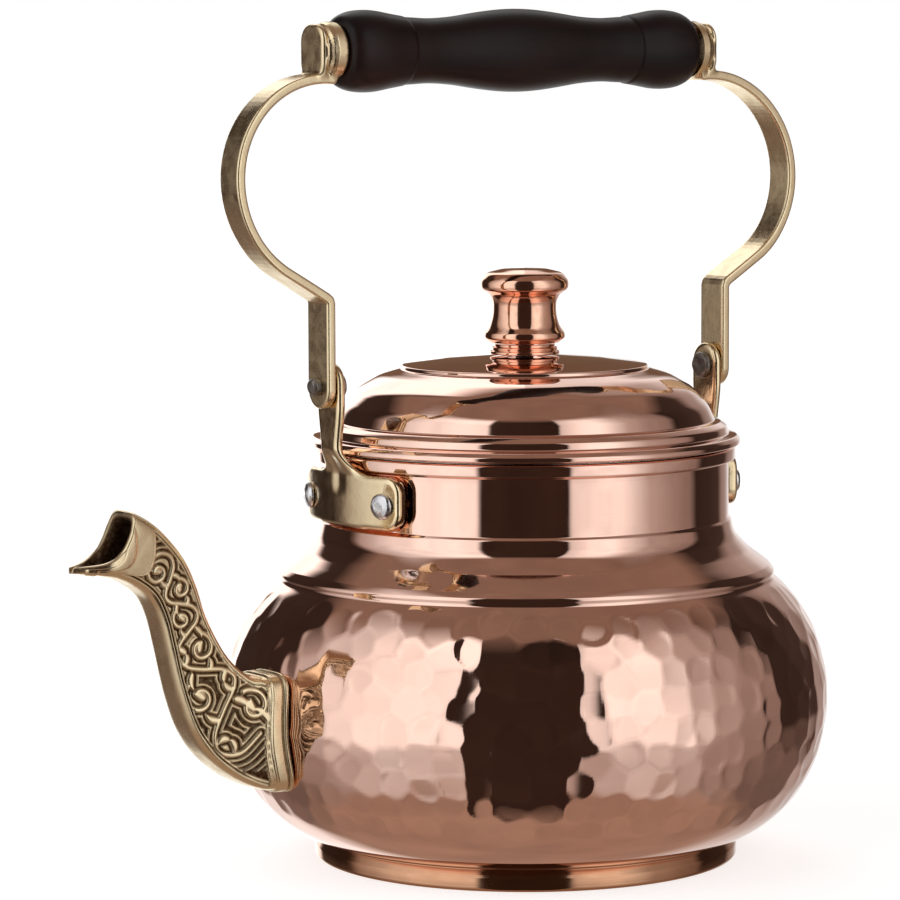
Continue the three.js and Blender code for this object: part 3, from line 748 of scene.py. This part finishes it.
def rivet_points(profile, z, turn, seed):
    points, faces = revolve(refined(rounded(profile, step=10), 0.5), 48, closed=False)
    points = dented(along_x(points), 0.35, 1.1, seed)
    points[:, 2] += z
    c, s = math.cos(math.radians(turn)), math.sin(math.radians(turn))
    return points @ np.array([[c, s, 0], [-s, c, 0], [0, 0, 1]]), faces


def rivet_meshes():
    inner = NECK_R - SHEET - 0.1
    outer = LUG_OUT + 0.15
    profile = [
        (0, inner - 1.2, 0), (2.4, inner - 1.1, 0.6), (3.1, inner - 0.3, 0.3), (3.1, inner, 0.1),
        (2.0, inner + 0.2, 0.1), (2.0, outer - 0.2, 0.1), (3.45, outer, 0.15), (3.45, outer + 0.5, 0.3),
        (2.9, outer + 1.2, 0.9), (1.5, outer + 1.75, 1.2), (0, outer + 1.8, 0),
    ]
    turns = [180 - RIVET_ANGLE, 180 + RIVET_ANGLE, -RIVET_ANGLE, RIVET_ANGLE]
    for number, turn in enumerate(turns, 1):
        points, faces = rivet_points(profile, RIVET_Z, turn, number)
        smooth_piece(f"neck_rivet_{number}", points, faces, [ALUMINIUM], "kettle",
                     f"lug_rivet_{number}")
    inside = TANG_IN - 0.1
    outside = ARM_X + ARM_T / 2 + 0.1
    profile = [
        (0, inside - 1.4, 0), (3.3, inside - 1.4, 0.4), (3.7, inside - 0.9, 0.4), (3.7, inside, 0.15),
        (1.9, inside + 0.1, 0.1), (1.9, outside - 0.1, 0.1), (2.35, outside, 0.1), (2.35, outside + 1.5, 0.5),
        (1.7, outside + 2.2, 0.6), (0, outside + 2.3, 0),
    ]
    for end, turn, seed in (("front", 180, 31), ("rear", 0, 32)):
        points, faces = rivet_points(profile, PIVOT_Z, turn, seed)
        smooth_piece(f"pivot_{end}", points, faces, [STEEL], "kettle", f"pivot_rivet_{end}")


# ---------------- bail: arms with bosses, grip

def arm_line():
    angle = np.radians(np.linspace(-60, 95, 48))
    bow = np.stack([BOW_X + BOW_R * np.cos(angle), BOW_Z + BOW_R * np.sin(angle)], -1)
    foot = [(ARM_X, ARM_BOTTOM - 3), (ARM_X, ARM_KINK - 1.2), (ARM_X + 0.35, ARM_KINK - 0.2),
            (ARM_X + 1.2, ARM_KINK + 0.5)]
    return np.concatenate([foot, bow])


ARM_LINE = arm_line()


def arm_field(p, lean):
    """An arm that stands at +X: a bent strip that leans, a boss plate on top and a ferrule at the grip."""
    x, y, z = p.T
    upright = x - lean * np.maximum(z - ARM_KINK, 0) / (GRIP_Z - ARM_KINK)
    strip = path_distance(upright, z, ARM_LINE) - ARM_T / 2
    half = 5.2 - 0.6 * step_up(z, ARM_KINK + 4, ARM_KINK + 16)
    foot_centre = ARM_BOTTOM + 5.2
    side = np.where(z < foot_centre, np.hypot(y, z - foot_centre) - 5.2, np.abs(y) - half)
    strip = blend_max(strip, side, 0.8)
    strip = np.maximum(strip, BOSS_IN + 1.5 - upright)
    along, up = x - lean, z - GRIP_Z
    plate = np.abs(along - (BOSS_OUT - 0.95)) - 0.95
    plate = blend_max(plate, box_2d(y, up + 0.1, 5.9, 7.3, 4.6), 1.3)
    turned = np.interp(along - BOSS_IN, [0, 0.5, 1.2, 3.2, 4.3, 5.0, 5.6, 6.2],
                       [7.3, 7.6, 7.78, 7.75, 7.3, 6.6, 6.2, 6.2])
    ferrule = blend_max(np.hypot(y, up) - turned, np.abs(along - BOSS_IN - 3.1) - 3.1, 0.4)
    return blend_min(blend_min(plate, ferrule, 0.3), strip, 1.4)


def grip_profile():
    """The grip's outline from end to end, as (radius, x): a swelling waist between two turned balls."""
    waist = smooth_line(np.array([
        (10.99, -5), (11.16, 0), (10.99, 5), (10.52, 10), (9.87, 15), (9.17, 20), (8.75, 25), (8.65, 29),
        (8.85, 33), (9.02, 36.7)]), 64)
    waist = waist[waist[:, 1] >= 0]
    ball = smooth_line(np.array([
        (9.32, 37.0), (9.95, 41), (10.63, 45), (10.84, 48), (10.72, 51), (10.24, 53.5), (9.3, 55.5),
        (8.0, 56.6), (7.0, GRIP_HALF)]), 48)
    half = np.concatenate([waist, ball, [[2.9, GRIP_HALF]]])
    mirrored = (half[1:] * np.array([1, -1]))[::-1]
    return refined(np.concatenate([mirrored, half]), 1.5)


def bail_meshes():
    for end, lean, place in (("rear", GRIP_X, lambda q: q), ("front", -GRIP_X, half_turn)):
        points, faces, normals = skin(lambda p: arm_field(p, lean), (55, -9, ARM_BOTTOM - 1),
                                      (95, 9, GRIP_Z + 9), 0.45)
        smooth_piece(f"bail_{end}_cast", place(points), faces, [BRASS], "bail",
                     f"bail_arm_{end}", place(normals))
    points, faces = revolve(grip_profile(), 160)
    points = along_x(points)
    points[:, 0] += GRIP_X
    points[:, 2] += GRIP_Z
    smooth_piece("grip_turned", points, faces, [WOOD], "grip", "grip")


# ---------------- spout

# Stations across the spout in its own plane: outer side, inner side (distance from axis, height), half width.
SPOUT_STATIONS = np.array([
    (66, 26.2, 66, 57.0, 9.6), (82.4, 26.1, 85.4, 56.4, 9.6), (88.6, 27.0, 88.4, 56.8, 9.2),
    (96.1, 30.7, 91.4, 57.6, 8.4), (103.1, 36.5, 94.8, 60.3, 7.6), (107.9, 43.3, 97.6, 63.5, 7.0),
    (111.0, 51.0, 99.9, 67.2, 6.5), (113.0, 58.0, 102.1, 71.5, 6.1),
    (114.9, 65.9, 103.9, 75.6, 5.9), (117.0, 73.7, 106.1, 82.3, 5.8),
    (120.0, 79.5, 109.2, 88.7, 5.9), (124.4, 83.0, 113.6, 94.2, 6.3),
    (129.0, 85.1, 119.0, 99.1, 6.9), (133.7, 86.2, 125.1, 102.4, 7.0),
    (137.4, 86.8, 131.9, 104.0, 4.4), (140.9, 87.2, 138.0, 104.9, 1.2),
])
SQUARENESS = 0.44
WALL = 1.8
LIP_Z, LIP_RISE, LIP_R, LIP_FALL = 88.5, 15.4, 124.5, 3.4


def spout_table():
    """The stations joined by a smooth curve and sampled evenly, with the distance run along the middle."""
    table = smooth_line(SPOUT_STATIONS, 600)
    return table, distance_run((table[:, 0:2] + table[:, 2:4]) / 2)


SPOUT_TABLE, SPOUT_RUN = spout_table()
SPOUT_LENGTH = SPOUT_RUN[-1]


def station(run):
    """The spout's outer point, inner point and half width at a distance along it."""
    row = np.stack([np.interp(run, SPOUT_RUN, column) for column in SPOUT_TABLE.T], -1)
    return row[..., 0:2], row[..., 2:4], row[..., 4]


def flatter(wave):
    """A sine or cosine, bent so that the round section it draws gets flatter sides."""
    return np.sign(wave) * np.abs(wave) ** SQUARENESS


def spout_point(run, turn, inset):
    """A point of the spout's skin at a distance along it and a turn round it, with its depth across."""
    outer, inner, half = station(run)
    across = inner - outer
    length = np.linalg.norm(across, axis=-1, keepdims=True)
    across = across / length
    deep = flatter(np.cos(turn)) * (length[..., 0] / 2 - inset)
    wide = flatter(np.sin(turn)) * np.maximum(half - inset, 0.4)
    plane = (outer + inner) / 2 + across * deep[..., None]
    return np.stack([-plane[..., 0], wide, plane[..., 1]], -1), deep, length[..., 0] / 2


def beyond_mouth(p):
    """Positive where a point lies past the mouth's cut, which leaves a hood above and a beak below."""
    return p[..., 2] - LIP_Z - LIP_RISE * np.exp((p[..., 0] + LIP_R) / LIP_FALL)


def outside_belly(p):
    """Positive where a point is clear of the belly."""
    r = np.hypot(p[..., 0], p[..., 1])
    return np.hypot((r - BELLY_RING) / (BELLY_A + 0.15), (p[..., 2] - BELLY_Z) / (BELLY_B + 0.15)) - 1


def crossing(test, turn, inset, low, high):
    """The distance along the spout at which a test turns from negative to positive, for each turn."""
    a, b = np.full(turn.shape, low), np.full(turn.shape, high)
    for _ in range(30):
        m = (a + b) / 2
        past = test(spout_point(m, turn, inset)[0]) > 0
        b = np.where(past, m, b)
        a = np.where(past, a, m)
    return b


def even_turns(columns):
    """Turns round the section that space the columns evenly, and closer on the two cheeks' relief."""
    fine = np.linspace(0, TAU, 20001)
    deep, wide = flatter(np.cos(fine)) * 10, flatter(np.sin(fine)) * 7
    step = np.hypot(np.diff(deep), np.diff(wide) * 0.45)
    length = np.concatenate([[0], np.cumsum(step)])
    return np.interp((np.arange(columns) + 0.5) / columns * length[-1], length, fine)


def cheek_middle(run):
    outer, inner = station(run)[:2]
    return (outer + inner) / 2


def cheek_place(run, across):
    """A place on the cheek, as (distance from the axis, height), and the heading of the spout there."""
    middle = cheek_middle(run)
    along = unit(cheek_middle(run + 1) - middle)
    inward = np.array([-along[1], along[0]])
    return middle + inward * across, math.degrees(math.atan2(along[1], along[0]))


def cheek_room(run):
    """Half of the cheek's depth at a distance along the spout."""
    outer, inner = station(run)[:2]
    return float(np.linalg.norm(inner - outer)) / 2


def spiral(centre, size, start, hand, width):
    """One turn of a scroll that winds in from its rim, as points with half widths; it ends in a round eye."""
    t = np.linspace(0, 1, 32)
    angle = math.radians(start) + hand * TAU * t
    radius = size * (1 - 0.72 * t)
    eye = np.clip((t - 0.86) / 0.14, 0, 1)
    return np.stack([centre[0] + radius * np.cos(angle), centre[1] + radius * np.sin(angle),
                     width * (1 - 0.25 * t) + 0.45 * eye], -1)


def stem(points, width):
    """A smooth line of one half width through a few points."""
    line = smooth_line(np.array(points), 8 * len(points))
    return np.concatenate([line, np.full((len(line), 1), width)], -1)


def leaf(base, length, heading, bend, fat):
    """A curved teardrop leaf: a line whose width swells and closes."""
    t = np.linspace(0, 1, 14)
    curl = math.radians(heading) + math.radians(bend) * t
    line = np.stack([np.cumsum(np.cos(curl)), np.cumsum(np.sin(curl))], -1) * length / len(t)
    width = fat * np.sin(math.pi * t ** 0.7) ** 0.8 + 0.06
    return np.concatenate([base + line, width[:, None]], -1)


def scroll_work(start, end):
    """Lines of the cheek's vine: a winding stem with a scroll in each bend and leaves in the corners."""
    lines = []
    run, hand = start, 1
    joins = [cheek_place(run, 0.0)[0]]
    while run < end:
        room = cheek_room(run + 4) - 2.8
        size = min(room * 0.66, 4.6)
        long = size * 2.7
        shift = room * 0.94 - size
        centre, heading = cheek_place(run + long * 0.5, hand * shift)
        lines.append(spiral(centre, size, heading + 20 * hand, hand, 0.48 + 0.02 * room))
        turn = heading + 215 * hand
        bud = centre + size * 0.30 * np.array([math.cos(math.radians(turn)), math.sin(math.radians(turn))])
        lines.append(leaf(bud, size * 0.78, turn + 180 - 25 * hand, 50 * hand, size * 0.26))
        for share, way, bend in ((-0.10, 62, -75), (1.02, 122, 75)):
            base, course = cheek_place(run + long * share, hand * room * 0.30)
            lines.append(leaf(base, room * 0.56, course + hand * way, hand * bend, 0.45 + 0.06 * room))
        swing = min(room * 0.86, room - 0.6)
        if shift > 1.5:
            for way, bend in ((168, 95), (-8, -95)):
                base, course = cheek_place(run + long * 0.5, -hand * swing * 0.55)
                lines.append(leaf(base, size * 0.9, course + hand * way, hand * bend, 0.95))
        for share, reach in ((0.22, 0.72), (0.50, 1.0), (0.78, 0.72), (1.0, 0.0)):
            joins.append(cheek_place(run + long * share, -hand * swing * reach)[0])
        run += long
        hand = -hand
    lines.append(stem(joins, 0.6))
    return lines


def relief(u, v, lines):
    """Domed height of the scroll work, 0 on the ground and 1 on top, at points (u, v) of the cheek.

    Where the ground would lie bare, thinner ridges follow the nearest line."""
    top, bare = np.zeros(u.shape), np.full(u.shape, 9.0)
    for line in lines:
        low, high = line[:, 0:2].min(0) - 5, line[:, 0:2].max(0) + 5
        near = (u > low[0]) & (u < high[0]) & (v > low[1]) & (v < high[1])
        if not near.any():
            continue
        pu, pv = u[near], v[near]
        best, closest = np.zeros(pu.shape), np.full(pu.shape, 9.0)
        for a, b in zip(line[:-1], line[1:]):
            away, t = to_stretch(pu, pv, a, b)
            width = a[2] + t * (b[2] - a[2])
            best = np.maximum(best, np.sqrt(np.clip(1.08 - (away / (width + 0.2)) ** 2, 0, 1)))
            closest = np.minimum(closest, away - width)
        top[near] = np.maximum(top[near], best)
        bare[near] = np.minimum(bare[near], closest)
    echo = np.clip(0.5 - 0.8 * np.cos(TAU * (bare - 0.15) / 1.75), 0, 1) * step_up(bare, 0.4, 0.7)
    return np.maximum(top, 0.85 * echo)


def sleeve(turn, share, inset, end):
    """Runs along the spout from the belly to the mouth's cut, with both ends, for each turn."""
    begin = crossing(outside_belly, turn, inset, 0.0, SPOUT_LENGTH * 0.4)
    finish = crossing(beyond_mouth, turn, inset, SPOUT_LENGTH * 0.6, end)
    return begin, finish, begin + (finish - begin) * share[:, None]


def spout_mesh():
    columns, rows, inner_rows = 256, 350, 30
    turn = even_turns(columns)
    begin, finish, run = sleeve(turn, np.linspace(0, 1, rows), 0.0, SPOUT_LENGTH)
    turns = np.broadcast_to(turn, run.shape)
    points, deep, half = spout_point(run, turns, 0.0)
    edge = half - np.abs(deep)
    from_root, to_mouth = run - begin, finish - run
    cheek = step_up(np.abs(np.sin(turns)), 0.25, 0.5)
    vine = relief(-points[..., 0], points[..., 2], scroll_work(float(begin.mean()) + 9.0, SPOUT_LENGTH - 24))
    to_mouth = to_mouth + 0.55 * deep
    frame_lines = np.maximum(band(edge, 1.35, 0.34, 0.3), band(edge, 2.3, 0.26, 0.25))
    end_lines = np.maximum(band(from_root, 6.3, 0.40, 0.3), band(to_mouth, 9.2, 0.45, 0.35))
    inside_frame = step_up(edge, 1.05, 1.5) * step_up(from_root, 5.6, 6.2) * step_up(to_mouth, 8.6, 9.2)
    top = np.maximum(np.maximum(vine * step_up(edge, 2.3, 2.8), frame_lines), end_lines)
    ground = inside_frame * cheek
    height = -0.95 * ground * (1 - top)
    root = 0.75 * band(from_root, 0.7, 0.55, 0.4) + 0.65 * band(from_root, 3.4, 1.5, 0.5)
    groove = band(from_root, 1.55, 0.22, 0.3)
    height = height + root + 0.25 * band(to_mouth, 1.2, 1.6, 1.0)
    normal = np.cross(np.roll(points, -1, 1) - np.roll(points, 1, 1), np.gradient(points, axis=0))
    outward = points - points.mean(axis=1, keepdims=True)
    normal = unit(normal) * np.sign((outward * normal).sum())
    points = points + normal * height[..., None]
    recess = np.clip(1.15 * ground * (1 - top) + 0.8 * groove, 0, 1)

    run_in = sleeve(turn, np.linspace(1, 0, inner_rows), WALL, SPOUT_LENGTH - 1.2)[2]
    bore = spout_point(run_in, np.broadcast_to(turn, run_in.shape), WALL)[0]
    rim = (points[-1] + bore[0]) / 2 + 0.35 * unit(points[-1] - points[-4])
    skin_points = np.concatenate([points.reshape(-1, 3), rim, bore.reshape(-1, 3)])
    faces = grid_faces(rows + 1 + inner_rows, columns, close_rows=True)
    obj = smooth_piece("spout_cast", skin_points, faces, [BRASS], "kettle", "spout")
    dark = np.concatenate([recess.ravel(), np.full(columns, 0.1), np.full(inner_rows * columns, 1.0)])
    layer = obj.data.attributes.new("recess", "FLOAT", "POINT")
    layer.data.foreach_set("value", dark.astype(np.float32))


# ---------------- studio: world, floor

CEILING = (0.235, 0.160, 0.125)
# Painted shadow: the pale floor round the kettle, darkened as the kettle's own shade darkens it, as
# reflections see it.
FLOOR_SHADOW_TONE = (0.345, 0.245, 0.19)
GAP_TONE = (0.034, 0.020, 0.015)
STRIP_TONE = (0.16, 0.095, 0.06)
# Brightness of the soft boxes, gaps and backdrop by bearing in degrees; positive is to the camera's right.
LEVEL_LIGHT = (
    (-180, 1.55), (-152, 1.5), (-147, 0.04), (-114, 0.03), (-110, 0.12), (-103, 0.46), (-90, 0.68),
    (-75, 0.92), (-64, 1.12), (-45, 1.2), (-27, 1.12), (-24.5, 0.03), (24, 0.02), (26, 0.85), (38, 1.12),
    (52, 1.16), (62, 0.85), (74, 0.45), (90, 0.34), (106, 0.26), (112, 0.03), (140, 0.05),
    (147, 0.30), (156, 0.42), (166, 0.85), (180, 0.98))
LOW_LIGHT = (
    (-180, 1.2), (-152, 0.9), (-146, 0.2), (-112, 0.16), (-100, 0.3), (-75, 0.5), (-50, 0.70), (-28, 0.56),
    (-24.5, 0.03), (24, 0.02), (27, 0.42), (45, 0.64), (60, 0.58), (76, 0.36), (95, 0.26), (108, 0.18),
    (140, 0.14), (146, 0.4), (180, 0.8))
FULL_SCALE = 2.0             # brightness that the ramps' 1.0 stands for
FLOOR_GLOW = 0.72
FLOOR_REACH = 6.0            # metres from the kettle to the floor's edges


def scaled(colour):
    return tuple(channel / FULL_SCALE for channel in colour)


def light_by_bearing(tree, bearing, stops):
    """Brightness looked up by bearing: neutral where it is bright, brown where it is dim."""
    band_stops = []
    for degrees, level in stops:
        warm = max(0.0, 1 - level / 0.7)
        colour = (level, level * (1 - 0.34 * warm), level * (1 - 0.48 * warm))
        band_stops.append(((degrees + 180) / 360, scaled(colour)))
    return ramp(tree, spread(tree, bearing, 0.0, 1.0, -180.0, 180.0), band_stops)


def window(tree, angle, opens, is_open, closes, is_closed):
    """1 between two angles in degrees and 0 beyond them, with a fade at each."""
    start = spread(tree, angle, 0.0, 1.0, opens, is_open)
    end = spread(tree, angle, 1.0, 0.0, closes, is_closed)
    return combined(tree, "MULTIPLY", start, end)


def studio_world():
    """Soft boxes, ceiling and the floor round the kettle by direction, that floor in painted shadow, with
    dark gaps between; white where the camera looks.
    """
    world = bpy.data.worlds.new("studio")
    bpy.context.scene.world = world
    world.use_nodes = True
    tree = world.node_tree
    tree.nodes.clear()
    source = new_node(tree, "TexCoord").outputs["Generated"]
    turned = new_node(tree, "Mapping", Vector=source)
    turned.vector_type = "VECTOR"
    # After this turn, +X is the direction to the camera and +Y lies to the camera's right.
    to_camera = math.atan2(-math.cos(CAMERA_AZIMUTH), math.sin(CAMERA_AZIMUTH))
    put(turned, "Rotation", (0, 0, -to_camera))
    parts = new_node(tree, "SeparateXYZ", Vector=turned.outputs[0])
    degree = math.radians(1)
    elevation = combined(tree, "DIVIDE", combined(tree, "ARCSINE", parts.outputs[2]), degree)
    bearing = combined(tree, "ARCTAN2", parts.outputs[1], parts.outputs[0])
    bearing = combined(tree, "DIVIDE", bearing, degree)
    aside = combined(tree, "ABSOLUTE", bearing)

    level = light_by_bearing(tree, bearing, LEVEL_LIGHT)
    low = light_by_bearing(tree, bearing, LOW_LIGHT)
    colour = mixed(tree, spread(tree, elevation, 1.0, 0.0, -22.0, -9.0), level, low)
    # Steeply down, reflections see painted shadow: the floor round the kettle as darkened by the kettle's own
    # shade.
    colour = mixed(tree, spread(tree, elevation, 1.0, 0.0, -47.0, -36.0), colour, scaled(FLOOR_SHADOW_TONE))
    colour = mixed(tree, spread(tree, elevation, 0.0, 1.0, 52.0, 62.0), colour, scaled(CEILING))
    # A brown strip stands low behind, where only the lid's top sees it.
    behind = spread(tree, aside, 0.0, 1.0, 169.0, 173.0)
    strip = combined(tree, "MULTIPLY", behind, window(tree, elevation, 1.0, 3.0, 22.0, 28.0))
    colour = mixed(tree, strip, colour, scaled(STRIP_TONE))
    # Beyond the soft boxes the ceiling starts lower.
    eaves = combined(tree, "MULTIPLY", window(tree, aside, 96.0, 108.0, 140.0, 150.0),
                     spread(tree, elevation, 0.0, 1.0, 38.0, 46.0))
    colour = mixed(tree, eaves, colour, scaled(CEILING))
    # The gap round the camera reaches further down than the soft boxes do.
    gap = combined(tree, "MULTIPLY", spread(tree, aside, 1.0, 0.0, 22.0, 25.0),
                   window(tree, elevation, -66.0, -58.0, 42.0, 52.0))
    colour = mixed(tree, gap, colour, scaled(GAP_TONE))
    cloth = new_node(tree, "TexNoise", Scale=3.2, Detail=3.0, Vector=source).outputs[0]
    strength = spread(tree, cloth, 0.87 * FULL_SCALE, 1.13 * FULL_SCALE, 0.32, 0.68)
    lit = new_node(tree, "Background", Color=colour, Strength=strength)
    white = new_node(tree, "Background", Color=(1, 1, 1, 1))
    mix = new_node(tree, "MixShader", Fac=new_node(tree, "LightPath").outputs["Is Camera Ray"])
    put(mix, 1, lit.outputs[0])
    put(mix, 2, white.outputs[0])
    new_node(tree, "OutputWorld", Surface=mix.outputs[0])


def studio_floor():
    material, _, shader = new_material("floor_pale", metallic=0.0)
    put(shader, "Base Color", (0.80, 0.80, 0.80, 1))
    put(shader, "Roughness", 0.9)
    put(shader, "Specular IOR Level", 0.1)
    put(shader, "Emission Color", (1, 1, 1, 1))
    put(shader, "Emission Strength", FLOOR_GLOW)
    mesh = bpy.data.meshes.new("floor")
    far = FLOOR_REACH
    mesh.from_pydata([(-far, -far, 0), (far, -far, 0), (far, far, 0), (-far, far, 0)], [], [(0, 1, 2, 3)])
    mesh.materials.append(material)
    floor = bpy.data.objects.new("floor", mesh)
    bpy.context.scene.collection.objects.link(floor)
    # Reflections see the world's painted floor shadow in place of this floor.
    floor.visible_glossy = False


# ---------------- build

def dress_hidden_nodes():
    """CAD nodes whose shape is right keep it and get a proper finish."""
    for node, material in (("tie_rod", STEEL), ("knob_washer", STEEL), ("knob_screw", STEEL)):
        mesh = frame["nodes"][node].data
        mesh.materials.clear()
        mesh.materials.append(material)


body_mesh()
base_mesh()
lid_mesh()
flange_mesh()
knob_mesh()
collar_mesh()
lug_meshes()
rivet_meshes()
bail_meshes()
spout_mesh()
dress_hidden_nodes()
studio_world()
studio_floor()

scene = bpy.context.scene
scene.view_settings.view_transform = "Standard"
